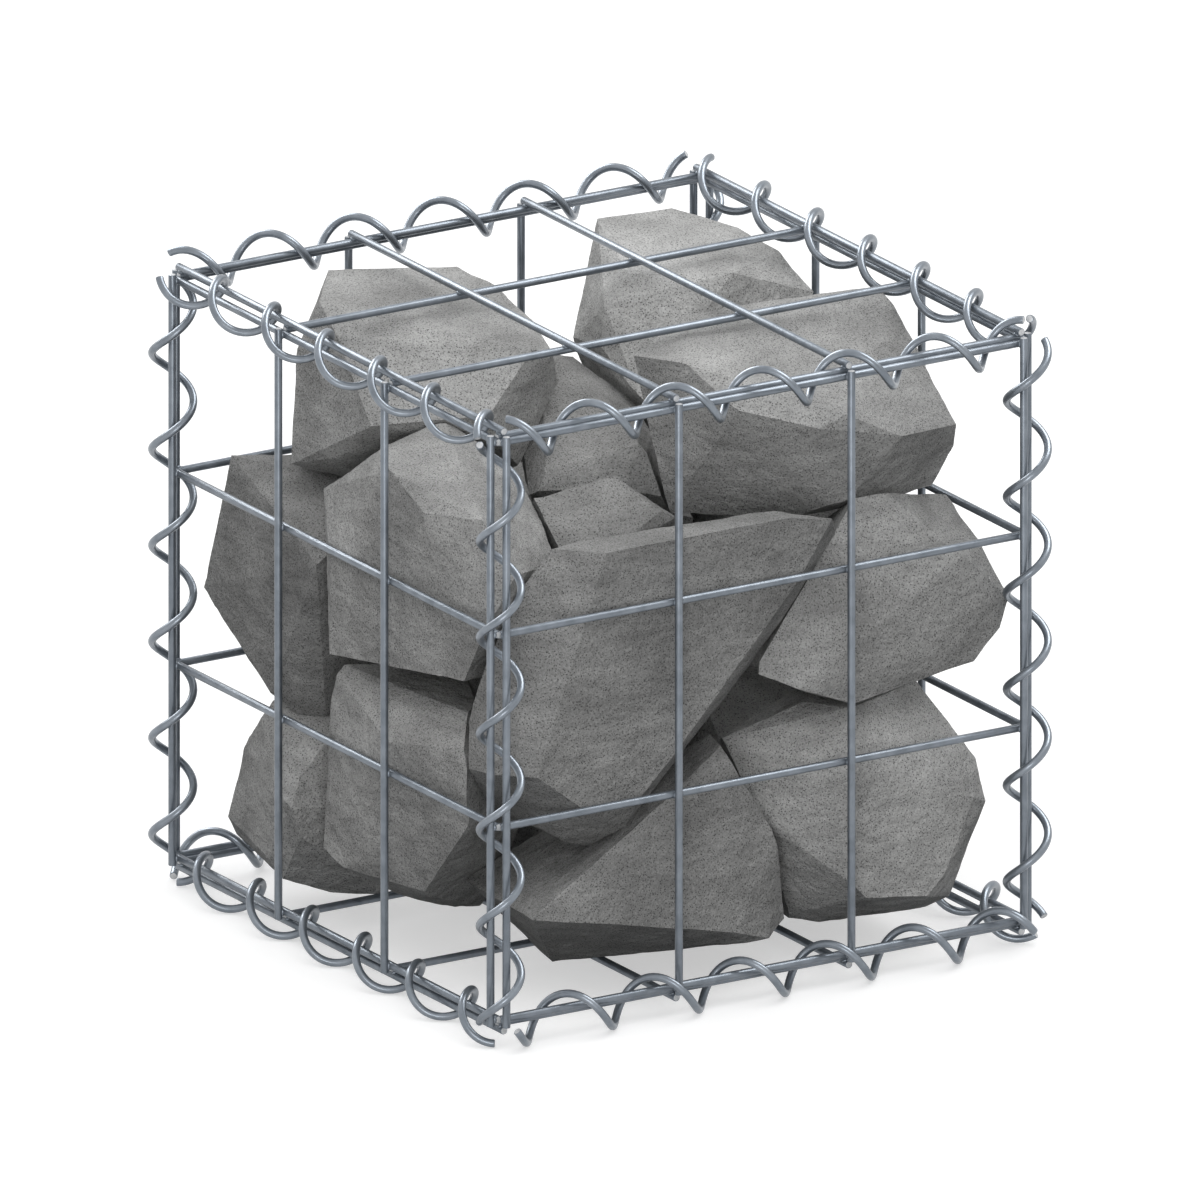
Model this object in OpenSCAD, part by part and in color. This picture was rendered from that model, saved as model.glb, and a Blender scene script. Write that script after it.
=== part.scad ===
// Gabion: a stone-filled cube basket of welded wire mesh.
// Six mesh panels stand edge to edge, and a wire coil is screwed along each of
// the twelve edges to lace them together. Quarried stones fill the basket.
// Every length is in millimetres. The origin is on the ground below the centre,
// the front panel faces -Y, and +Z is up.

/* [Basket] */
// Pitch of the mesh, from wire to wire
cell = 100; // [60:5:150]
// Number of mesh cells along each edge of the basket
cells = 3; // [2:1:5]
// Diameter of the mesh wire
wire_d = 4; // [2.5:0.5:6]
// Depth that crossing wires sink into each other at a weld
weld_sink = 0.6; // [0.3:0.1:1]
// Air left between the wires of neighbouring panels
panel_gap = 0.25; // [0.2:0.05:1]
// Distance that the outer wires end short of the next panel
end_clear = 0.9; // [0.3:0.1:2]

/* [Binder coils] */
// Diameter of the coil wire
coil_wire_d = 4; // [2.5:0.5:6]
// Outside diameter of a coil
coil_od = 24.5; // [22:0.5:34]
// Turns of a coil along one mesh cell
turns_per_cell = 2; // [1:1:3]

/* [Stone fill] */
// Air left where a piece is seated on another
seat_gap = 0.3; // [0.2:0.05:0.6]

/* [Hidden] */

WIRE_COLOUR = [0.50, 0.53, 0.57];
STONE_COLOUR = [0.55, 0.54, 0.52];

// Panels. The mesh lines of a panel run from -half to half. Its inner wires lie
// just outside the next panel's edge wire, and its outer wires are welded on them.
half = cell * cells / 2;
wire_r = wire_d / 2;
inner_out = half + (wire_d + panel_gap) / sqrt(2);
outer_out = inner_out + wire_d - weld_sink;
inner_end = inner_out - wire_r - panel_gap;
outer_end = outer_out - wire_r - end_clear;
MESH_LINES = [for (i = [0 : cells]) -half + i * cell];
WIRE_SIDES = 8;

// Coils. Each one winds round the two edge wires where two panels meet.
RING_STEP = 30;
TUBE_SIDES = 8;
END_SKIP = 8;
coil_wire_r = coil_wire_d / 2;
coil_turns = cells * turns_per_cell;
coil_axis = (half + outer_out) / 2;
wire_off = outer_out - coil_axis;
inner_off = inner_out - coil_axis;
// A coil is never wound so tight that it could not pass round both edge wires
tight_r = (wire_off * sqrt(2) + coil_wire_r + wire_r + seat_gap) / cos(RING_STEP / 2);
coil_r = max(coil_od / 2 - coil_wire_r, tight_r);
// Distance from a coil's axis to the middle of a mesh wire that it is seated on
seat_r = coil_r * cos(RING_STEP / 2) - coil_wire_r - wire_r - seat_gap;
// An upright coil leans across the corner, onto one of its two edge wires
lean = (seat_r - wire_off * sqrt(2)) / sqrt(2);
// A coil from front to back hangs on the top wire, or is pressed up by the ground
hang = sqrt(seat_r ^ 2 - wire_off ^ 2) - wire_off;
// A coil from left to right is pushed out until it is seated on the inner wire
push_top = sqrt(seat_r ^ 2 - inner_off ^ 2) - wire_off;
push_bottom = sqrt(seat_r ^ 2 - (inner_off + hang) ^ 2) - wire_off;

// Height of the basket's centre, with the bottom coils standing on the ground
centre_z = coil_axis - hang + coil_r + coil_wire_r;

// Stones. Their corners are set out from the basket's centre for a nominal basket,
// where NOMINAL is the reach of a corner that touches the mesh.
NOMINAL = 150;
fill = (inner_out - wire_r - seat_gap) / NOMINAL;
CUT = 4 * half;

// Where two stones bear on each other, both are flat along one plane:
// [first stone, second stone, a point on the plane, direction from first to second]
BEARINGS = [
    ["stone_front", "stone_front_left", [-110, -105, 40], [-3, 5, 2]],
    ["stone_front", "stone_low_corner", [-120, -90, -40], [-2, 3, 0]],
    ["stone_front", "stone_low_front", [-55, -100, -70], [3, -1, -5]],
    ["stone_front", "stone_right", [50, -125, 50], [5, -3, -4]],
    ["stone_front", "stone_wedge", [-30, -100, 55], [1, 4, 3]],
    ["stone_left", "stone_rear_left", [-80, 80, -5], [3, 1, -1]],
    ["stone_left", "stone_top_left", [-90, 75, 65], [0, -1, 5]],
    ["stone_left", "stone_low_left", [-115, 70, -60], [1, 1, -2]],
    ["stone_low_corner", "stone_low_front", [-85, -65, -90], [1, -5, -5]],
    ["stone_low_corner", "stone_low_left", [-100, 40, -100], [-1, 4, 0]],
    ["stone_low_front", "stone_low_right", [25, -105, -90], [5, -1, 2]],
    ["stone_top_left", "stone_core", [-40, 10, 85], [5, -1, -4]],
    ["stone_core", "stone_top_right", [10, -35, 80], [5, -3, 2]],
    ["stone_core", "stone_top_back", [35, 25, 90], [4, 0, 3]],
    ["stone_core", "stone_rear_middle", [10, 20, 45], [0, 0, -1]],
    ["stone_top_back", "stone_rear_right", [105, 75, 60], [1, -1, -5]],
    ["stone_top_right", "stone_right", [105, -105, 65], [0, -3, -5]],
    ["stone_right", "stone_low_right", [80, -80, -30], [0, 0, -1]],
    ["stone_front_left", "stone_low_corner", [-90, -15, -15], [0, 0, -1]],
    ["stone_front_left", "stone_wedge", [-70, -50, 70], [5, -1, 1]],
    ["stone_front_left", "stone_top_left", [-100, 20, 85], [3, 4, 3]],
    ["stone_rear_left", "stone_bed_middle", [-40, 75, -65], [1, 0, -5]],
    ["stone_rear_middle", "stone_bed_middle", [0, 55, -60], [0, 0, -1]],
    ["stone_rear_middle", "stone_rear_right", [85, 70, 0], [1, 0, 0]],
    ["stone_rear_right", "stone_bed_right", [110, 50, -50], [0, 0, -1]]
];

// ---------------------------------------------------------------- panels

// One mesh wire of the length 2 * reach, along Z
module wire(reach) {
    cylinder(h = 2 * reach, d = wire_d, center = true, $fn = WIRE_SIDES);
}

// A welded panel that lies flat, with its outer wires above and along Y
module panel() {
    color(WIRE_COLOUR)
    union() {
        for (at = MESH_LINES) {
            translate([0, at, inner_out]) rotate([0, 90, 0]) wire(inner_end);
            translate([at, 0, outer_out]) rotate([90, 0, 0]) wire(outer_end);
        }
    }
}

module panel_top() {
    panel();
}

module panel_bottom() {
    rotate([180, 0, 0]) panel();
}

// An upright panel has its outer wires upright
module panel_front() {
    rotate([90, 0, 0]) panel();
}

module panel_back() {
    rotate([-90, 0, 0]) panel();
}

module panel_left() {
    rotate([0, 0, -90]) panel_front();
}

module panel_right() {
    rotate([0, 0, 90]) panel_front();
}

// ---------------------------------------------------------------- coils

// Winding angles of a coil's rings, with its two cut ends
function ring_angles(start, end) = concat(
    [start],
    [for (a = [ceil((start + END_SKIP) / RING_STEP) * RING_STEP : RING_STEP : end - END_SKIP]) a],
    [end]
);

// Point on the middle line of the coil's wire, about the Z axis
function coil_point(a, start) = [
    coil_r * cos(a),
    coil_r * sin(a),
    -half + cell / turns_per_cell * (a - start) / 360
];

// Direction of the coil's wire
function coil_tangent(a) =
    let (rise = cell / turns_per_cell / 360 * 180 / PI)
    [-coil_r * sin(a), coil_r * cos(a), rise] / norm([coil_r, rise]);

// Ring of corners square to the wire, with one corner straight outwards
function coil_ring(a, start) =
    let (radial = [cos(a), sin(a), 0], side = cross(coil_tangent(a), radial))
    [for (i = [0 : TUBE_SIDES - 1])
        let (turn = i * 360 / TUBE_SIDES)
        coil_point(a, start) + coil_wire_r * (cos(turn) * radial + sin(turn) * side)];

// Coil about the Z axis that starts at the given angle and climbs to the right
module coil(start) {
    angles = ring_angles(start, start + 360 * coil_turns);
    rings = [for (a = angles) coil_ring(a, start)];
    points = [for (ring = rings) each ring];
    last = len(angles) - 1;
    skin = [
        for (k = [0 : last - 1])
            for (i = [0 : TUBE_SIDES - 1])
                let (
                    j = (i + 1) % TUBE_SIDES,
                    a = k * TUBE_SIDES + i,
                    b = k * TUBE_SIDES + j,
                    c = a + TUBE_SIDES,
                    d = b + TUBE_SIDES
                )
                each [[a, c, b], [b, c, d]]
    ];
    start_cap = [[for (i = [0 : TUBE_SIDES - 1]) i]];
    end_cap = [[for (i = [TUBE_SIDES - 1 : -1 : 0]) last * TUBE_SIDES + i]];
    color(WIRE_COLOUR) polyhedron(points, concat(skin, start_cap, end_cap), convexity = 10);
}

// Upright coil at a corner of the plan; side is [-1 or 1, -1 or 1]
module upright_coil(side, start) {
    shift = lean * [-side.x, side.y, 0] * side.x * side.y;
    translate([side.x * coil_axis, side.y * coil_axis, 0] + shift) coil(start);
}

// Coil from left to right, along X
module cross_coil(side, start) {
    push = side.y > 0 ? push_top : push_bottom;
    drop = side.y > 0 ? 0 : hang;
    translate([0, side.x * (coil_axis + push), side.y * coil_axis + drop])
        rotate([90, 0, 90]) coil(start);
}

// Coil from front to back, along Y
module long_coil(side, start) {
    translate([side.x * coil_axis, 0, side.y * (coil_axis - hang)])
        rotate([0, -90, -90]) coil(start);
}

module coil_front_left() {
    upright_coil([-1, -1], 148);
}

module coil_front_right() {
    upright_coil([1, -1], 4);
}

module coil_back_right() {
    upright_coil([1, 1], 58);
}

module coil_back_left() {
    upright_coil([-1, 1], 58);
}

module coil_top_front() {
    cross_coil([-1, 1], 90);
}

module coil_top_back() {
    cross_coil([1, 1], 49);
}

module coil_bottom_front() {
    cross_coil([-1, -1], 180);
}

module coil_bottom_back() {
    cross_coil([1, -1], 285);
}

module coil_top_left() {
    long_coil([-1, 1], 283);
}

module coil_top_right() {
    long_coil([1, 1], 20);
}

module coil_bottom_left() {
    long_coil([-1, -1], 180);
}

module coil_bottom_right() {
    long_coil([1, -1], 135);
}

// ---------------------------------------------------------------- stones

// Turns the Z axis to the given direction
module aim(direction) {
    rotate([0, acos(direction.z / norm(direction)), atan2(direction.y, direction.x)]) children();
}

// Block that a bearing plane takes off a stone, on the far side of the plane
module far_side(point, direction) {
    translate(fill * point) aim(direction) translate([-CUT / 2, -CUT / 2, -seat_gap / 2]) cube(CUT);
}

// One quarried stone between its corners, cut flat where it bears on another
module stone(name, corners) {
    color(STONE_COLOUR)
    difference() {
        hull() polyhedron(fill * corners, [[for (i = [0 : len(corners) - 1]) i]]);
        for (b = BEARINGS) {
            if (b[0] == name) far_side(b[2], b[3]);
            if (b[1] == name) far_side(b[2], -b[3]);
        }
    }
}

module stone_top_left() {
    stone("stone_top_left", [
        [-80, 125, 150], [-15, 110, 145], [-15, 75, 145], [-20, 30, 140], [-30, -5, 135],
        [-45, -10, 140], [-110, 85, 150], [-115, 60, 140], [-120, 90, 125], [-120, 20, 105],
        [-80, -20, 110], [-10, 20, 100], [-120, 50, 80], [-130, 80, 70], [-110, 70, 65],
        [-90, 40, 90], [-95, 60, 60], [-45, 0, 75], [-55, 50, 65], [-40, 90, 75], [-95, 115, 75]
    ]);
}

module stone_top_back() {
    stone("stone_top_back", [
        [75, 125, 150], [115, 120, 150], [135, 90, 145], [140, 60, 140], [145, 35, 125],
        [30, 75, 110], [50, 55, 145], [95, 30, 145], [30, 45, 135], [25, 40, 115],
        [30, 10, 95], [75, 20, 65], [110, 10, 85], [60, 100, 55], [110, 100, 60], [140, 60, 70]
    ]);
}

module stone_top_right() {
    stone("stone_top_right", [
        [-15, -55, 145], [0, -80, 145], [35, -25, 150], [110, -20, 145], [145, -25, 145],
        [145, -40, 140], [135, -115, 100], [140, -105, 85], [130, -100, 65], [105, -90, 70],
        [65, -110, 60], [5, -55, 60], [15, -105, 125], [50, -125, 115], [65, -125, 120],
        [95, -130, 105], [20, -30, 65], [110, -20, 65], [130, -40, 75]
    ]);
}

module stone_core() {
    stone("stone_core", [
        [0, 45, 115], [15, 50, 110], [35, 25, 90], [15, -60, 65], [-20, -50, 75], [-5, -45, 95], [-45, -30, 85],
        [-60, -30, 75], [-30, 5, 40], [0, -30, 40], [15, 20, 40], [-15, 50, 60], [-30, 30, 105]
    ]);
}

module stone_left() {
    stone("stone_left", [
        [-130, 135, 60], [-125, 90, 65], [-110, 70, 60], [-140, 145, -10], [-135, 90, -50],
        [-125, 80, -60], [-115, 70, -60], [-110, 70, -45], [-145, 30, 35], [-80, 50, 60],
        [-80, 90, 65], [-110, 130, 40], [-110, 120, -20], [-80, 50, -20], [-85, 90, -20]
    ]);
}

module stone_front_left() {
    stone("stone_front_left", [
        [-135, 40, 70], [-130, -5, 100], [-120, 5, 100], [-90, 0, 110], [-70, -35, 90],
        [-70, -50, 80], [-85, -100, 60], [-125, -130, 65], [-140, -110, 35], [-140, -100, 10],
        [-150, 10, -5], [-140, -30, 100], [-145, -70, 90], [-135, -110, 95], [-140, -125, 50],
        [-150, 10, 40], [-90, 15, 85], [-75, -60, 50], [-80, -10, 60], [-70, -70, 0],
        [-85, -20, -20]
    ]);
}

module stone_wedge() {
    stone("stone_wedge", [
        [-50, -60, 85], [-35, -70, 90], [-25, -80, 80], [-20, -90, 75], [-10, -90, 70],
        [-80, -55, 80], [-85, -85, 55], [-60, -100, 60], [-55, -50, 30], [-5, -70, 30],
        [-60, -30, 50], [-40, -75, 25], [-20, -50, 60]
    ]);
}

module stone_front() {
    stone("stone_front", [
        [-105, -125, 80], [-85, -145, 80], [-45, -145, 80], [20, -145, 80], [45, -145, 75], [20, -130, 80],
        [-75, -95, 70], [-65, -125, 80], [15, -140, 80], [60, -125, 55], [25, -145, 45],
        [35, -130, 30], [5, -130, 0], [-45, -145, -30], [-40, -140, -30], [-65, -145, -50],
        [-65, -130, -70], [-80, -120, -80], [-100, -145, -50], [-125, -145, -30], [-140, -130, -30],
        [-95, -120, -75], [-110, -110, -65], [-120, -85, -60], [-140, -100, -35], [-140, -105, 5],
        [-135, -110, 35], [-120, -120, 60], [-60, -90, 20], [10, -90, 30], [-70, -80, -50],
        [-40, -85, -35]
    ]);
}

module stone_right() {
    stone("stone_right", [
        [75, -120, 80], [90, -110, 75], [130, -85, 60], [145, -90, 55], [145, -120, 40],
        [150, -140, 15], [145, -140, 0], [130, -140, -15], [95, -135, -20], [60, -140, -25], [25, -145, -10],
        [5, -140, 0], [10, -135, 15], [90, -120, 75], [125, -140, 40],
        [70, -70, 40], [75, -80, -40], [60, -60, -20], [130, -60, 40], [120, -50, -30]
    ]);
}

module stone_low_left() {
    stone("stone_low_left", [
        [-130, 95, -55], [-135, 100, -65], [-135, 115, -85], [-135, 125, -115],
        [-135, 130, -125], [-130, 130, -135], [-140, 70, -140], [-115, 65, -150],
        [-95, 50, -150], [-150, 60, -90], [-150, 45, -95], [-145, 45, -110],
        [-145, 75, -130], [-120, 70, -50], [-80, 80, -70], [-75, 100, -150],
        [-110, 120, -100], [-85, 40, -100]
    ]);
}

module stone_low_corner() {
    stone("stone_low_corner", [
        [-135, 20, -15], [-140, 20, -20], [-140, 25, -35], [-145, 20, -80], [-145, 25, -110],
        [-145, 5, -115], [-120, -5, -130], [-110, -5, -135], [-75, 15, -150], [-70, 45, -150],
        [-115, -65, -10], [-150, -45, -35], [-140, -100, -25], [-140, -110, -50],
        [-135, -90, -80], [-130, -55, -115], [-80, -70, -60], [-75, -20, -140], [-85, 45, -105],
        [-90, -10, -10], [-85, 0, -80]
    ]);
}

module stone_low_front() {
    stone("stone_low_front", [
        [-110, -45, -110], [-95, -75, -130], [-80, -85, -150], [0, -135, -140],
        [15, -135, -140], [30, -125, -135], [20, -135, -90], [10, -135, -75], [-10, -135, -40],
        [-10, -115, -30], [-125, -140, -105], [-30, -145, -125], [-10, -145, -130],
        [-60, -135, -65], [0, -75, -80], [30, -75, -80], [30, -45, -150], [-45, -45, -150],
        [-40, -80, -110]
    ]);
}

module stone_low_right() {
    stone("stone_low_right", [
        [5, -100, -45], [50, -110, -30], [65, -130, -30], [115, -110, -30], [140, -125, -70],
        [140, -135, -90], [125, -125, -140], [115, -120, -145], [100, -105, -150],
        [65, -100, -150], [45, -95, -145], [20, -120, -85], [25, -125, -85], [55, -145, -115],
        [65, -145, -125], [100, -145, -130], [110, -145, -120], [130, -140, -85],
        [45, -140, -55], [80, -75, -30], [70, -40, -80], [130, -30, -80], [70, -45, -150], [120, -45, -150]
    ]);
}

module stone_bed_middle() {
    stone("stone_bed_middle", [
        [-60, 30, -150], [30, 20, -150], [50, 70, -150], [40, 130, -150], [-40, 135, -150],
        [-70, 80, -130], [-60, 20, -110], [30, 0, -110], [55, 60, -90], [45, 135, -90],
        [-30, 145, -90], [-65, 100, -75], [-50, 40, -60], [20, 30, -60], [0, 110, -55]
    ]);
}

module stone_bed_right() {
    stone("stone_bed_right", [
        [70, -20, -150], [130, -20, -150], [140, 40, -150], [130, 125, -150], [70, 130, -150],
        [60, 50, -150], [60, -25, -90], [120, -20, -75], [145, 20, -90], [145, 110, -80],
        [110, 145, -90], [60, 140, -90], [75, 40, -55], [120, 60, -45]
    ]);
}

module stone_rear_left() {
    stone("stone_rear_left", [
        [-100, 100, -65], [-60, 60, -60], [-20, 70, -60], [-20, 140, -50], [-90, 145, -40],
        [-70, 50, 0], [-60, 60, 40], [-15, 80, 50], [-30, 145, 30], [-95, 145, 20],
        [-70, 110, 55]
    ]);
}

module stone_rear_middle() {
    stone("stone_rear_middle", [
        [-10, 20, -60], [60, 0, -60], [85, 60, -50], [60, 140, -50], [-5, 120, -60],
        [5, 15, 50], [-10, 30, 20], [60, 10, 30], [85, 80, 40], [40, 145, 30], [-10, 130, 20],
        [20, 60, 50]
    ]);
}

module stone_rear_right() {
    stone("stone_rear_right", [
        [90, -30, -55], [140, -20, -45], [145, 60, -55], [140, 135, -45], [85, 130, -45],
        [85, 0, 30], [140, -25, 50], [150, 60, 50], [130, 145, 40], [85, 120, 50],
        [110, 50, 65]
    ]);
}

translate([0, 0, centre_z]) panel_front();
translate([0, 0, centre_z]) panel_back();
translate([0, 0, centre_z]) panel_left();
translate([0, 0, centre_z]) panel_right();
translate([0, 0, centre_z]) panel_top();
translate([0, 0, centre_z]) panel_bottom();
translate([0, 0, centre_z]) coil_front_left();
translate([0, 0, centre_z]) coil_front_right();
translate([0, 0, centre_z]) coil_back_right();
translate([0, 0, centre_z]) coil_back_left();
translate([0, 0, centre_z]) coil_top_front();
translate([0, 0, centre_z]) coil_top_back();
translate([0, 0, centre_z]) coil_bottom_front();
translate([0, 0, centre_z]) coil_bottom_back();
translate([0, 0, centre_z]) coil_top_left();
translate([0, 0, centre_z]) coil_top_right();
translate([0, 0, centre_z]) coil_bottom_left();
translate([0, 0, centre_z]) coil_bottom_right();
translate([0, 0, centre_z]) stone_top_left();
translate([0, 0, centre_z]) stone_top_back();
translate([0, 0, centre_z]) stone_top_right();
translate([0, 0, centre_z]) stone_core();
translate([0, 0, centre_z]) stone_left();
translate([0, 0, centre_z]) stone_front_left();
translate([0, 0, centre_z]) stone_wedge();
translate([0, 0, centre_z]) stone_front();
translate([0, 0, centre_z]) stone_right();
translate([0, 0, centre_z]) stone_low_left();
translate([0, 0, centre_z]) stone_low_corner();
translate([0, 0, centre_z]) stone_low_front();
translate([0, 0, centre_z]) stone_low_right();
translate([0, 0, centre_z]) stone_bed_middle();
translate([0, 0, centre_z]) stone_bed_right();
translate([0, 0, centre_z]) stone_rear_left();
translate([0, 0, centre_z]) stone_rear_middle();
translate([0, 0, centre_z]) stone_rear_right();
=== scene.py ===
# %% [markdown]
# # A stone-filled gabion
#
# A gabion is a basket of welded wire mesh, laced shut along its edges with wire
# coils and packed with quarried stone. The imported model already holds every
# piece at its real size. This lesson loads it as a fixed frame and then gives
# each piece the finish of the real thing: round drawn wire with its welds,
# smooth screwed coils, and stones with a broken, gritty face.

# %% Load the fixed frame
import math
import bpy
from mathutils import Matrix, Vector


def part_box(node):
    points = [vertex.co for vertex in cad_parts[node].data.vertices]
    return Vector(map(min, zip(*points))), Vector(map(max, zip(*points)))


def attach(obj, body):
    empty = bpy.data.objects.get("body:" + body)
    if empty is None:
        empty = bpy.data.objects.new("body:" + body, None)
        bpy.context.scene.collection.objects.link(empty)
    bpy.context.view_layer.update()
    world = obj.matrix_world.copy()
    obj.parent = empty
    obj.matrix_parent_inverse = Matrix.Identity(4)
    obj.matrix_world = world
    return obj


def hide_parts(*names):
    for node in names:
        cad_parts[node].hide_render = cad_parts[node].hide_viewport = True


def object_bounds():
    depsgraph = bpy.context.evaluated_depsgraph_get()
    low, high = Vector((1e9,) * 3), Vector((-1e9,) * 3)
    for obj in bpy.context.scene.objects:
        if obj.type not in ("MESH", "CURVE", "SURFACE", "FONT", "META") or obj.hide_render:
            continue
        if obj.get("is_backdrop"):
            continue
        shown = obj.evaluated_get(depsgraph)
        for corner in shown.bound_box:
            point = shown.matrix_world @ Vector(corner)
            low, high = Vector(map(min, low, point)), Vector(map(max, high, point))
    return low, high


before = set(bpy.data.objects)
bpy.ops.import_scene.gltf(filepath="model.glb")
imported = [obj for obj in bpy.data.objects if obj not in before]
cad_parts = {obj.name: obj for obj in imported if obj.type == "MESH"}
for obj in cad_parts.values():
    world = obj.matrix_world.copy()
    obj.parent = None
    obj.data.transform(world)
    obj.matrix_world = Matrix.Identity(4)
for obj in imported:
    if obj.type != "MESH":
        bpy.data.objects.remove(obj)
cad_low, cad_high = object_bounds()
print("frame box", [round(v, 4) for v in cad_low], [round(v, 4) for v in cad_high])

# %% [markdown]
# Blender works in metres and the workshop in millimetres, so every length
# below is written in millimetres times MM. An operator acts on whatever is
# selected, so each piece starts with nothing selected.

# %% Small helpers used by every piece
MM = 0.001


def in_mm(lengths):
    """Lengths in metres, rounded to hundredths of a millimetre for printing."""
    return [round(length / MM, 2) for length in lengths]


def start_clean():
    """Leaves object mode with nothing selected."""
    if bpy.context.object and bpy.context.object.mode != "OBJECT":
        bpy.ops.object.mode_set(mode="OBJECT")
    bpy.ops.object.select_all(action="DESELECT")


def pick(*objects):
    """Selects these objects only, and makes the first one active."""
    start_clean()
    for o in objects:
        o.select_set(True)
    bpy.context.view_layer.objects.active = objects[0]


def turned_copy(piece, name, turn):
    """A copy of a piece with its own mesh, turned by a matrix about the origin."""
    copy = bpy.data.objects.new(name, piece.data.copy())
    bpy.context.scene.collection.objects.link(copy)
    copy.data.transform(turn)
    copy.data.update()
    return copy


def quarter_turn(axis, quarters=1):
    """A turn of so many right angles about one axis."""
    return Matrix.Rotation(quarters * math.pi / 2, 4, axis)


def seat(piece, cad_node):
    """Lets a finished piece stand for its CAD node."""
    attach(piece, "root")
    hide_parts(cad_node)


# %% [markdown]
# A colour is picked as an sRGB hex value, the way a paint chart gives it, and
# turned to the linear light that the shader adds up. One more helper adds a
# shader node with its settings and links in a single line.

# %% Colour and node helpers
def linear(hex_colour):
    """Linear RGBA of an sRGB hex colour."""
    channels = [int(hex_colour[i : i + 2], 16) / 255 for i in (1, 3, 5)]
    return [c / 12.92 if c <= 0.04045 else ((c + 0.055) / 1.055) ** 2.4 for c in channels] + [1.0]


def add(tree, kind, settings=None, links=None):
    """Adds a node: settings by property or input, links from output sockets to inputs."""
    made = tree.nodes.new(kind)
    for key, value in (settings or {}).items():
        if isinstance(key, int) or key in made.inputs:
            made.inputs[key].default_value = value
        else:
            setattr(made, key, value)
    for key, socket in (links or {}).items():
        tree.links.new(socket, made.inputs[key])
    return made


def new_material(name):
    """An empty material, its tree and its surface shader."""
    material = bpy.data.materials.new(name)
    material.use_nodes = True
    tree = material.node_tree
    tree.nodes.clear()
    surface = add(tree, "ShaderNodeBsdfPrincipled")
    add(tree, "ShaderNodeOutputMaterial", links={"Surface": surface.outputs["BSDF"]})
    return material, tree, surface


# %% [markdown]
# The wire is low-carbon steel, drawn to size and dipped in molten zinc. Fresh
# zinc is bright, but out of doors it dulls within weeks to a blue-grey skin
# that still keeps a soft shine. The metal is therefore a mid blue-grey with a
# fairly broad gloss, a faint cloudiness, and a fine grit in the highlights.

# %% Galvanised wire
def galvanised(name, tones, gloss):
    """Zinc-dipped steel wire, dulled outdoors: blue-grey with a soft shine."""
    material, tree, surface = new_material(name)
    place = add(tree, "ShaderNodeTexCoord")
    # cloudy zinc, in patches of about 8 mm
    cloud = add(tree, "ShaderNodeTexNoise", {"Scale": 1 / (8 * MM), "Detail": 3.0},
                {"Vector": place.outputs["Object"]})
    patches = add(tree, "ShaderNodeValToRGB", links={"Fac": cloud.outputs["Fac"]})
    low, high = patches.color_ramp.elements
    low.position, high.position = 0.3, 0.7
    low.color, high.color = linear(tones[0]), linear(tones[1])
    tree.links.new(patches.outputs["Color"], surface.inputs["Base Color"])
    # grit in the zinc, drawn at 0.5 mm, which is coarser than real so that it shows
    grit = add(tree, "ShaderNodeTexNoise", {"Scale": 1 / (0.5 * MM), "Detail": 2.0},
               {"Vector": place.outputs["Object"]})
    relief = add(tree, "ShaderNodeBump", {"Strength": 0.12, "Distance": 0.05 * MM},
                 {"Height": grit.outputs["Fac"]})
    tree.links.new(relief.outputs["Normal"], surface.inputs["Normal"])
    dull = add(tree, "ShaderNodeMapRange", {"To Min": gloss - 0.04, "To Max": gloss + 0.06},
               {"Value": cloud.outputs["Fac"]})
    tree.links.new(dull.outputs["Result"], surface.inputs["Roughness"])
    # the dulled skin is part metal and part chalky zinc salts
    surface.inputs["Metallic"].default_value = 0.6
    return material


mesh_zinc = galvanised("galvanised_mesh_wire", ("#6B727A", "#80878F"), 0.36)
# the coils are wound from a slightly brighter and smoother wire
coil_zinc = galvanised("galvanised_coil_wire", ("#747B83", "#8A9199"), 0.3)
print("wire finishes", mesh_zinc.name, coil_zinc.name)

# %% [markdown]
# The cropped end of a wire shows bare bright steel, paler than the dulled zinc
# along its side. It gets a finish of its own, put on the end faces only.

# %% Cropped steel
cut_steel, tree, surface = new_material("cropped_steel")
place = add(tree, "ShaderNodeTexCoord")
# shear marks, drawn 0.8 mm apart, which is coarser than real so that they show
shear = add(tree, "ShaderNodeTexNoise", {"Scale": 1 / (0.8 * MM), "Detail": 3.0},
            {"Vector": place.outputs["Object"]})
marks = add(tree, "ShaderNodeValToRGB", links={"Fac": shear.outputs["Fac"]})
marks.color_ramp.elements[0].color = linear("#B4B7BA")
marks.color_ramp.elements[1].color = linear("#E2E3E4")
tree.links.new(marks.outputs["Color"], surface.inputs["Base Color"])
# a torn face scatters most of what it reflects, so it looks only part metal
surface.inputs["Metallic"].default_value = 0.35
surface.inputs["Roughness"].default_value = 0.45
print("end finish", cut_steel.name)

# %% [markdown]
# The fill is crushed hard stone, a grey one with a fine dark grain, broken and not sawn. What the eye sees,
# from coarse to fine, is a slow change of tone across a face, faint bedding streaks, a salt-and-pepper grain
# under one millimetre and fine pits, darkened with painted shade. Stone has next to no gloss.


# %% Stone colour
def grit_pattern(tree, place):
    """The fine patterns of a broken face: grain under 1 mm, and pits with their painted shade."""
    grain = add(tree, "ShaderNodeTexNoise", {"Scale": 1 / (0.9 * MM), "Detail": 2.0, "Roughness": 0.7},
                {"Vector": place.outputs["Object"]})
    # pits about half a millimetre across and 1.2 mm apart
    pits = add(tree, "ShaderNodeTexVoronoi", {"Scale": 1 / (1.2 * MM), "Randomness": 1.0},
               {"Vector": place.outputs["Object"]})
    # the pits are sunk in the relief and darkened in the colour, which is painted shade inside them
    pit_depth_and_shade = add(tree, "ShaderNodeMapRange",
                    {"From Min": 0.15, "From Max": 0.36, "To Min": 0.28, "To Max": 1.0},
                    {"Value": pits.outputs["Distance"]})
    return grain.outputs["Fac"], pit_depth_and_shade.outputs["Result"]


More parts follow.
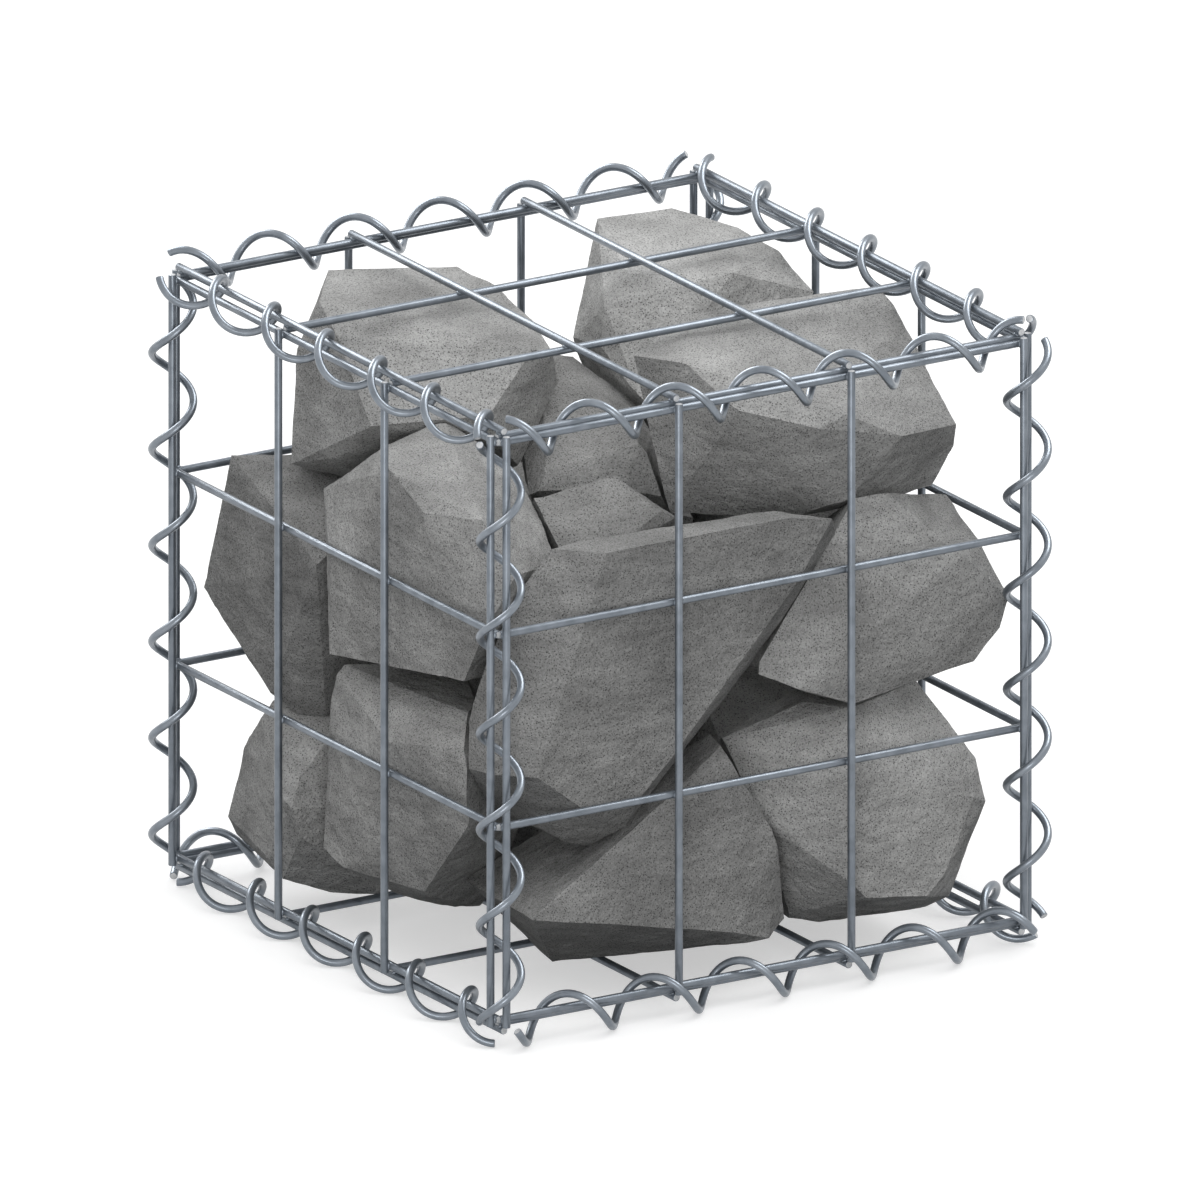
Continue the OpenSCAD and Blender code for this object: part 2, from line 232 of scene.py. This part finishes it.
def stone_colour(tree, place, tones, grain, pit_depth_and_shade):
    """Slow change of tone, bedding streaks, salt-and-pepper grain and painted shade in the pits."""
    # the tone drifts over about 45 mm
    tone = add(tree, "ShaderNodeTexNoise", {"Scale": 1 / (45 * MM), "Detail": 4.0, "Roughness": 0.6},
               {"Vector": place.outputs["Object"]})
    base = add(tree, "ShaderNodeValToRGB", links={"Fac": tone.outputs["Fac"]})
    low, high = base.color_ramp.elements
    low.position, high.position = 0.32, 0.68
    low.color, high.color = linear(tones[0]), linear(tones[1])
    # bedding streaks, 30 mm long along the layers and 6 mm apart across them
    layers = add(tree, "ShaderNodeMapping", {"Rotation": (0.5, 0.35, 0.0), "Scale": (1.0, 1.0, 5.0)},
                 {"Vector": place.outputs["Object"]})
    bedding = add(tree, "ShaderNodeTexNoise", {"Scale": 1 / (30 * MM), "Detail": 3.0},
                  {"Vector": layers.outputs["Vector"]})
    streaks = add(tree, "ShaderNodeMapRange",
                  {"From Min": 0.3, "From Max": 0.7, "To Min": 0.88, "To Max": 1.1},
                  {"Value": bedding.outputs["Fac"]})
    pepper = add(tree, "ShaderNodeMapRange",
                 {"From Min": 0.3, "From Max": 0.7, "To Min": 0.74, "To Max": 1.22},
                 {"Value": grain})
    # the pits darken the grain: painted shade inside them
    fine = add(tree, "ShaderNodeMath", {"operation": "MULTIPLY"},
               {0: pepper.outputs["Result"], 1: pit_depth_and_shade})
    shade = add(tree, "ShaderNodeMath", {"operation": "MULTIPLY"},
                {0: streaks.outputs["Result"], 1: fine.outputs[0]})
    tint = add(tree, "ShaderNodeVectorMath", {"operation": "SCALE"},
               {0: base.outputs["Color"], "Scale": shade.outputs[0]})
    return tint.outputs["Vector"]


# %% [markdown]
# A broken face is also uneven to the touch. Shapes under a centimetre are too many to model, so Bump nodes
# tilt the light on them: slow waves first, and then the grain and the pits, which the colour also darkens
# with painted shade.

# %% Stone relief
def stone_relief(tree, place, grain, pit_depth_and_shade):
    """Waves of a broken face about 9 mm across, then the grain, then the pits."""
    waves = add(tree, "ShaderNodeTexNoise", {"Scale": 1 / (9 * MM), "Detail": 5.0, "Roughness": 0.62},
                {"Vector": place.outputs["Object"]})
    wavy = add(tree, "ShaderNodeBump", {"Strength": 1.0, "Distance": 3.0 * MM},
               {"Height": waves.outputs["Fac"]})
    grainy = add(tree, "ShaderNodeBump", {"Strength": 0.6, "Distance": 0.4 * MM},
                 {"Height": grain, "Normal": wavy.outputs["Normal"]})
    pitted = add(tree, "ShaderNodeBump", {"Strength": 0.4, "Distance": 0.3 * MM},
                 {"Height": pit_depth_and_shade, "Normal": grainy.outputs["Normal"]})
    return pitted.outputs["Normal"]


# %% [markdown]
# Some stones are a darker copy of the same stone and some a paler one. This is partly a real spread of tone
# between stones, and partly painted shade on stones that sit deep in the basket or turn away from the light,
# and painted light on stones that should catch more of it. Three tones of the same stone cover both.

# %% Quarried stone, in three tones
def quarried_stone(name, tones):
    """Crushed grey hard stone between two tones."""
    material, tree, surface = new_material(name)
    place = add(tree, "ShaderNodeTexCoord")
    grain, pit_depth_and_shade = grit_pattern(tree, place)
    tree.links.new(stone_colour(tree, place, tones, grain, pit_depth_and_shade), surface.inputs["Base Color"])
    tree.links.new(stone_relief(tree, place, grain, pit_depth_and_shade), surface.inputs["Normal"])
    surface.inputs["Roughness"].default_value = 0.95
    surface.inputs["Specular IOR Level"].default_value = 0.08
    return material


stone_grey = quarried_stone("quarried_stone", ("#919190", "#B0B0AF"))
# darker, partly in its own tone and partly as painted shade for stones that sit in shade
stone_shade_and_dark_tone = quarried_stone("quarried_stone_shade_and_dark_tone", ("#818180", "#9D9D9C"))
# paler, partly in its own tone and partly as painted light for stones that sit in the light
stone_light_and_pale_tone = quarried_stone("quarried_stone_light_and_pale_tone", ("#9E9E9D", "#BFBFBE"))
# a stone that is not listed is the middle grey; the dark ones carry painted shade and the pale ones painted
# light, on top of their own tone
STONE_TONE_AND_SHADE = {
    "stone_front": stone_shade_and_dark_tone, "stone_core": stone_shade_and_dark_tone, "stone_wedge": stone_shade_and_dark_tone,
    "stone_left": stone_shade_and_dark_tone, "stone_low_front": stone_shade_and_dark_tone, "stone_rear_middle": stone_shade_and_dark_tone,
    "stone_low_right": stone_light_and_pale_tone, "stone_top_back": stone_light_and_pale_tone, "stone_bed_middle": stone_light_and_pale_tone,
}
print("stone finishes", stone_shade_and_dark_tone.name, stone_grey.name, stone_light_and_pale_tone.name)

# %% [markdown]
# A panel is eight straight wires welded where they cross, four inside and four
# outside. The sizes of a flat panel, the lid, are read off its packed box: its
# inner wires run left to right and its outer wires front to back.

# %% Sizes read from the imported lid
WIRE_R = 2.0 * MM
CELL = 100.0 * MM
CELLS = 3
# from the basket's middle to the outermost wires
HALF = CELLS * CELL / 2
MESH_LINES = [-HALF + i * CELL for i in range(CELLS + 1)]
CENTRE = Vector((0, 0, (cad_high.z + cad_low.z) / 2))
low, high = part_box("panel_top")
inner_z = low.z + WIRE_R
outer_z = high.z - WIRE_R
inner_reach = high.x
outer_reach = high.y
print("lid wires at, mm", in_mm((inner_z, outer_z)), "and reaching", in_mm((inner_reach, outer_reach)))

# %% [markdown]
# A cropper cuts a wire with two blades, which roll the rim of the cut a little
# and leave bare steel inside it. On a straight wire and on a coil alike, the
# flat end is the only face with more than four corners, so one helper finds the
# ends of both, bevels their rims and gives the flats the cropped finish.

# %% Cropped ends
ROLLED_RIM = 0.35 * MM
# sharper bends than this stay crisp
CRISP_ANGLE = math.radians(40)


def crop_ends(wire):
    """Rolls the rims of a wire's two ends and puts the cropped steel on the flats."""
    pick(wire)
    bpy.ops.object.mode_set(mode="EDIT")
    # vertex select would pick the long edges from rim to rim as well
    bpy.ops.mesh.select_mode(type="EDGE")
    bpy.ops.mesh.select_all(action="DESELECT")
    bpy.ops.object.mode_set(mode="OBJECT")
    rims = {key for f in wire.data.polygons if len(f.vertices) > 4 for key in f.edge_keys}
    for e in wire.data.edges:
        e.select = e.key in rims
    bpy.ops.object.mode_set(mode="EDIT")
    bpy.ops.mesh.bevel(offset=ROLLED_RIM, segments=2, affect="EDGES")
    bpy.ops.object.mode_set(mode="OBJECT")
    wire.data.materials.append(cut_steel)
    for f in wire.data.polygons:
        f.material_index = 1 if len(f.vertices) > 4 else 0
    bpy.ops.object.shade_smooth_by_angle(angle=CRISP_ANGLE)


# %% [markdown]
# One mesh wire is a cylinder of the wire's true size. It has enough sides to
# look round close up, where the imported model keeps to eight.

# %% The two lengths of mesh wire
WIRE_SIDES = 28


def drawn_wire(name, reach):
    """A wire along Z of the length 2 * reach, cropped at both ends."""
    start_clean()
    bpy.ops.mesh.primitive_cylinder_add(vertices=WIRE_SIDES, radius=WIRE_R, depth=2 * reach)
    wire = bpy.context.object
    wire.name = wire.data.name = name
    wire.data.materials.append(mesh_zinc)
    crop_ends(wire)
    return wire


inner_wire = drawn_wire("inner_wire", inner_reach)
outer_wire = drawn_wire("outer_wire", outer_reach)
print("one wire", len(inner_wire.data.polygons), "faces")

# %% [markdown]
# Where two wires cross, the welding current melts them together and the
# squeeze pushes out a little collar of metal. A flattened ball set into the
# crossing gives that collar, which catches a fine line of light.

# %% One weld
WELD_R = 2.35 * MM
WELD_FLATTENED = 0.62
start_clean()
bpy.ops.mesh.primitive_uv_sphere_add(segments=20, ring_count=12, radius=WELD_R)
weld = bpy.context.object
weld.name = weld.data.name = "weld"
bpy.ops.object.mode_set(mode="EDIT")
bpy.ops.mesh.select_all(action="SELECT")
bpy.ops.transform.resize(value=(1.0, 1.0, WELD_FLATTENED))
bpy.ops.object.mode_set(mode="OBJECT")
weld.data.materials.append(mesh_zinc)
bpy.ops.object.shade_smooth()
print("one weld, mm", in_mm(weld.dimensions))

# %% [markdown]
# The lid is put together from copies of the two wires and the weld, as the
# welding machine does it. It is first moved so that the basket's middle is at
# the origin, which makes the other five panels plain turned copies of it.

# %% The lid
weld_z = (inner_z + outer_z) / 2
parts = []
for i, at in enumerate(MESH_LINES):
    inner_place = Matrix.Translation((0, at, inner_z)) @ quarter_turn("Y")
    outer_place = Matrix.Translation((at, 0, outer_z)) @ quarter_turn("X")
    parts.append(turned_copy(inner_wire, f"in_{i}", inner_place))
    parts.append(turned_copy(outer_wire, f"out_{i}", outer_place))
    for j, across in enumerate(MESH_LINES):
        weld_place = Matrix.Translation((at, across, weld_z))
        parts.append(turned_copy(weld, f"weld_{i}_{j}", weld_place))
pick(*parts)
bpy.ops.object.join()
lid = bpy.context.object
lid.data.transform(Matrix.Translation(-CENTRE))
lid.name = lid.data.name = "lid_pattern"
print("lid", len(lid.data.polygons), "faces")

# %% Six panels from the lid
# quarter turns about X, and then about Z
PANELS = {
    "panel_top": (0, 0),
    "panel_bottom": (2, 0),
    "panel_front": (1, 0),
    "panel_back": (-1, 0),
    "panel_left": (1, -1),
    "panel_right": (1, 1),
}
for node, (about_x, about_z) in PANELS.items():
    spin = quarter_turn("Z", about_z) @ quarter_turn("X", about_x)
    panel = turned_copy(lid, node.replace("panel", "mesh"), Matrix.Translation(CENTRE) @ spin)
    seat(panel, node)
for spare in (inner_wire, outer_wire, weld, lid):
    bpy.data.objects.remove(spare)
print("six panels, each", len(panel.data.polygons), "faces")

# %% [markdown]
# A binder coil is a wire wound on a mandrel and screwed along an edge, so its
# shape is a screw. A circle of the wire's size is tilted square to the wire's
# run, moved out by the winding radius, and wound up by the Screw modifier.

# %% One coil
COIL_WIRE_R = 2.0 * MM
COIL_WIRE_SIDES = 20
COIL_R = 10.25 * MM
PITCH = 50.0 * MM
TURNS = 6
STEPS_PER_TURN = 40
# how steeply the wire climbs as it goes round
run_angle = math.atan2(PITCH, 2 * math.pi * COIL_R)
start_clean()
bpy.ops.mesh.primitive_circle_add(
    vertices=COIL_WIRE_SIDES,
    radius=COIL_WIRE_R,
    location=(COIL_R, 0, -HALF),
    rotation=(-math.pi / 2 + run_angle, 0, 0),
)
coil = bpy.context.object
coil.name = coil.data.name = "coil_pattern"
bpy.ops.object.transform_apply(location=True, rotation=True, scale=True)
screw = coil.modifiers.new("wind", "SCREW")
screw.axis = "Z"
screw.angle = 2 * math.pi
screw.screw_offset = PITCH
screw.iterations = TURNS
screw.steps = screw.render_steps = STEPS_PER_TURN
screw.use_merge_vertices = False
screw.use_smooth_shade = True
bpy.ops.object.modifier_apply(modifier="wind")
print("coil wound", len(coil.data.polygons), "faces, mm", in_mm(coil.dimensions))

# %% [markdown]
# The Screw modifier winds an open pipe. Its two open ends are filled, all faces
# are turned outwards, and the ends are cropped as on a mesh wire.

# %% Close and crop the coil's two ends
bpy.ops.object.mode_set(mode="EDIT")
bpy.ops.mesh.select_mode(type="EDGE")
bpy.ops.mesh.select_all(action="DESELECT")
bpy.ops.mesh.select_non_manifold()
bpy.ops.mesh.edge_face_add()
bpy.ops.mesh.select_all(action="SELECT")
bpy.ops.mesh.remove_doubles(threshold=0.001 * MM)
bpy.ops.mesh.normals_make_consistent(inside=False)
bpy.ops.object.mode_set(mode="OBJECT")
coil.data.materials.append(coil_zinc)
crop_ends(coil)
print("closed coil", len(coil.data.polygons), "faces")

# %% [markdown]
# Each coil starts its winding at its own angle, because it is screwed on by
# hand and stops wherever it stops. A copy is turned to that angle about its own
# axis and then laid along its edge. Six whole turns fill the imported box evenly,
# so the middle of the box is also the middle of the coil.

# %% Lay a coil along every edge
UPRIGHT = Matrix.Identity(4)
ALONG_X = quarter_turn("Z") @ quarter_turn("X")
ALONG_Y = quarter_turn("Z", -1) @ quarter_turn("Y", -1)
# how each coil lies, and the angle its winding starts at, in degrees
COILS = {
    "coil_front_left": (UPRIGHT, 148),
    "coil_front_right": (UPRIGHT, 4),
    "coil_back_right": (UPRIGHT, 58),
    "coil_back_left": (UPRIGHT, 58),
    "coil_top_front": (ALONG_X, 90),
    "coil_top_back": (ALONG_X, 49),
    "coil_bottom_front": (ALONG_X, 180),
    "coil_bottom_back": (ALONG_X, 285),
    "coil_top_left": (ALONG_Y, 283),
    "coil_top_right": (ALONG_Y, 20),
    "coil_bottom_left": (ALONG_Y, 180),
    "coil_bottom_right": (ALONG_Y, 135),
}
for node, (lay, start) in COILS.items():
    low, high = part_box(node)
    started = lay @ Matrix.Rotation(math.radians(start), 4, "Z")
    wound = turned_copy(coil, node.replace("coil", "binder"), Matrix.Translation((low + high) / 2) @ started)
    seat(wound, node)
    laid = [v.co for v in wound.data.vertices]
    past_low = in_mm(low[k] - min(co[k] for co in laid) for k in range(3))
    past_high = in_mm(max(co[k] for co in laid) - high[k] for k in range(3))
    print(node, "past its packed box, mm", past_low, past_high)
bpy.data.objects.remove(coil)

# %% [markdown]
# A quarried stone breaks along rough planes. Its frame already has the true
# planes and corners, so the stone starts as a copy of it: doubles merged, flat
# facets joined, then remeshed to an even skin that keeps the sharp arrises.
# Two Displace modifiers then give the slow waves and the small knocks of a
# broken face. They push inwards three times as far as outwards, to keep each
# stone out of its neighbours.

# %% The two relief patterns
wave_pattern = bpy.data.textures.new("broken_face_waves", "CLOUDS")
wave_pattern.noise_scale = 22 * MM
wave_pattern.noise_depth = 2
knock_pattern = bpy.data.textures.new("small_knocks", "CLOUDS")
knock_pattern.noise_scale = 6 * MM
knock_pattern.noise_depth = 1
# the pattern, and how deep it goes from its highest point to its lowest
RELIEFS = {"waves": (wave_pattern, 1.5 * MM), "knocks": (knock_pattern, 0.35 * MM)}
# the part of the depth that goes inwards
INWARDS = 0.75
print("relief patterns", wave_pattern.name, knock_pattern.name)

# %% Break every stone out of its frame
# the size of one face of the skin
SKIN = 2.1 * MM
# the remesh grid halves its side this many times
HALVINGS = 7
# gentler bends than this are part of one broken face
ARRIS_ANGLE = math.radians(16)


def quarried(node):
    """A stone made from its packed block."""
    rock = turned_copy(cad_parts[node], node.replace("stone", "rock"), Matrix.Identity(4))
    rock.data.name = rock.name
    rock.data.materials.clear()
    # darker and paler stones carry painted shade and painted light as well as their own tone
    rock.data.materials.append(STONE_TONE_AND_SHADE.get(node, stone_grey))
    pick(rock)
    bpy.ops.object.mode_set(mode="EDIT")
    bpy.ops.mesh.select_all(action="SELECT")
    bpy.ops.mesh.remove_doubles(threshold=0.02 * MM)
    bpy.ops.mesh.dissolve_limited(angle_limit=math.radians(1))
    bpy.ops.mesh.normals_make_consistent(inside=False)
    bpy.ops.object.mode_set(mode="OBJECT")
    longest = max(rock.dimensions)
    remesh = rock.modifiers.new("even skin", "REMESH")
    remesh.mode = "SHARP"
    remesh.sharpness = 1.0
    remesh.octree_depth = HALVINGS
    remesh.scale = min(0.99, longest / (SKIN * 2 ** HALVINGS))
    remesh.use_remove_disconnected = False
    bpy.ops.object.modifier_apply(modifier="even skin")
    for title, (pattern, depth) in RELIEFS.items():
        relief = rock.modifiers.new(title, "DISPLACE")
        relief.texture = pattern
        relief.texture_coords = "LOCAL"
        relief.strength = depth
        relief.mid_level = INWARDS
        bpy.ops.object.modifier_apply(modifier=title)
    bpy.ops.object.shade_smooth_by_angle(angle=ARRIS_ANGLE)
    seat(rock, node)
    return rock


total = 0
for node in sorted(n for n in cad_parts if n.startswith("stone_")):
    rock = quarried(node)
    total += len(rock.data.polygons)
    print(rock.name, len(rock.data.polygons), "faces")
print("all stones", total, "faces")

# %% [markdown]
# The basket stands on a plain pale floor in a white studio. What the camera sees
# and what the zinc mirrors is white, while the stones get a gentler light from
# the floor and the sky, so that their own colours show. The helper below tells
# the two apart: it is 1 for a ray that ends up in the picture as a view of the
# studio, and 0 for one that only carries light.

# %% What is seen and what only lights
def seen_as_backdrop(tree):
    """1 for camera, glossy and transmission rays, else 0."""
    ray = add(tree, "ShaderNodeLightPath")
    plain = add(tree, "ShaderNodeMath", {"operation": "MAXIMUM"},
                {0: ray.outputs["Is Camera Ray"], 1: ray.outputs["Is Glossy Ray"]})
    all_seen = add(tree, "ShaderNodeMath", {"operation": "MAXIMUM"},
                   {0: plain.outputs[0], 1: ray.outputs["Is Transmission Ray"]})
    return all_seen.outputs[0]


# %% Floor
# a hair below the basket, so that the two never share a surface
FLOOR_Z = -0.5 * MM
start_clean()
bpy.ops.mesh.primitive_plane_add(size=12.0, location=(0, 0, FLOOR_Z))
floor = bpy.context.object
floor.name = "studio_floor"
floor_white, tree, surface = new_material("studio_floor_white")
seen = seen_as_backdrop(tree)
# it looks pale but is grey to the light, so that little comes back up under the stones
paint = add(tree, "ShaderNodeMix", {"data_type": "RGBA", "A": linear("#606060"), "B": linear("#CFCFCF")},
            {"Factor": seen})
glow = add(tree, "ShaderNodeMath", {"operation": "MULTIPLY", 1: 0.5}, {0: seen})
tree.links.new(paint.outputs["Result"], surface.inputs["Base Color"])
tree.links.new(glow.outputs[0], surface.inputs["Emission Strength"])
surface.inputs["Emission Color"].default_value = (1, 1, 1, 1)
surface.inputs["Roughness"].default_value = 1.0
surface.inputs["Specular IOR Level"].default_value = 0.0
floor.data.materials.append(floor_white)
floor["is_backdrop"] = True
print("floor", floor.name, "in", floor_white.name)

# %% Sky
world = bpy.data.worlds.new("studio_sky")
bpy.context.scene.world = world
world.use_nodes = True
tree = world.node_tree
tree.nodes.clear()
seen = seen_as_backdrop(tree)
toward = add(tree, "ShaderNodeTexCoord")
height = add(tree, "ShaderNodeSeparateXYZ", links={"Vector": toward.outputs["Generated"]})
# dim at the horizon and bright overhead, like a ceiling of soft boxes
dome = add(tree, "ShaderNodeMapRange", {"To Min": 0.14, "To Max": 1.75}, {"Value": height.outputs["Z"]})
strength = add(tree, "ShaderNodeMix", {"data_type": "FLOAT", "B": 1.0},
               {"Factor": seen, "A": dome.outputs["Result"]})
sky = add(tree, "ShaderNodeBackground", {"Color": (1, 1, 1, 1)}, {"Strength": strength.outputs["Result"]})
add(tree, "ShaderNodeOutputWorld", links={"Surface": sky.outputs["Background"]})
print("sky", world.name)


# %% [markdown]
# A sky alone lights every side alike. One low lamp in front gives the stones a
# light side and a shaded side. A wire is so thin that its shine is a single
# bright line, which is there only when a lamp stands where the wire mirrors it
# to the eye. So two broad lamps do nothing but draw that line, one for the
# wires that run left to right and one for those that run front to back.

# %% Lamps
def soft_lamp(name, spot, size, power):
    """A square lamp of so many metres and watts, aimed at the basket's middle."""
    light = bpy.data.lights.new(name, "AREA")
    light.shape, light.size, light.energy = "SQUARE", size, power
    lamp = bpy.data.objects.new(name, light)
    bpy.context.scene.collection.objects.link(lamp)
    lamp.location = spot
    lamp.rotation_euler = (CENTRE - Vector(spot)).to_track_quat("-Z", "Y").to_euler()
    return lamp


soft_lamp("front_lamp", (-1.15, -1.65, 0.45), 0.6, 8.6)
for name, spot in (("right_glint", (0.85, -0.35, 1.6)), ("back_glint", (-0.2, 1.4, 1.2))):
    glint = soft_lamp(name, spot, 1.0, 24.0)
    glint.visible_diffuse = False
    print(name, "lights gloss only")

# %% [markdown]
# The camera looks down a little at the front left corner, from so far off that
# parallel lines stay parallel, so it is an orthographic one.

# %% Camera
AZIMUTH, ELEVATION = math.radians(-31.59), math.radians(18.17)
# metres across the picture, and metres from the basket's middle
VIEW_WIDTH = 0.5926
DISTANCE = 1.5
# the camera looks at a point this far below the basket's middle
AIM_LOWERED = 0.5 * MM
level = math.cos(ELEVATION)
back = Vector((math.sin(AZIMUTH) * level, -math.cos(AZIMUTH) * level, math.sin(ELEVATION)))
camera_data = bpy.data.cameras.new("camera")
camera_data.type = "ORTHO"
camera_data.ortho_scale = VIEW_WIDTH
camera_data.clip_end = 20.0
camera = bpy.data.objects.new("camera", camera_data)
bpy.context.scene.collection.objects.link(camera)
camera.location = CENTRE - Vector((0, 0, AIM_LOWERED)) + back * DISTANCE
camera.rotation_euler = back.to_track_quat("Z", "Y").to_euler()
bpy.context.scene.camera = camera
bpy.context.scene.view_settings.view_transform = "Standard"
print("camera at", [round(v, 3) for v in camera.location])

# %% [markdown]
# A finish must not change a size. The finished basket's box is set against the
# packed one, and it should come out no larger on any side.

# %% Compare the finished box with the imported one
bpy.context.view_layer.update()
made_low, made_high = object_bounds()
print("past the packed box, mm", in_mm(cad_low - made_low), in_mm(made_high - cad_high))
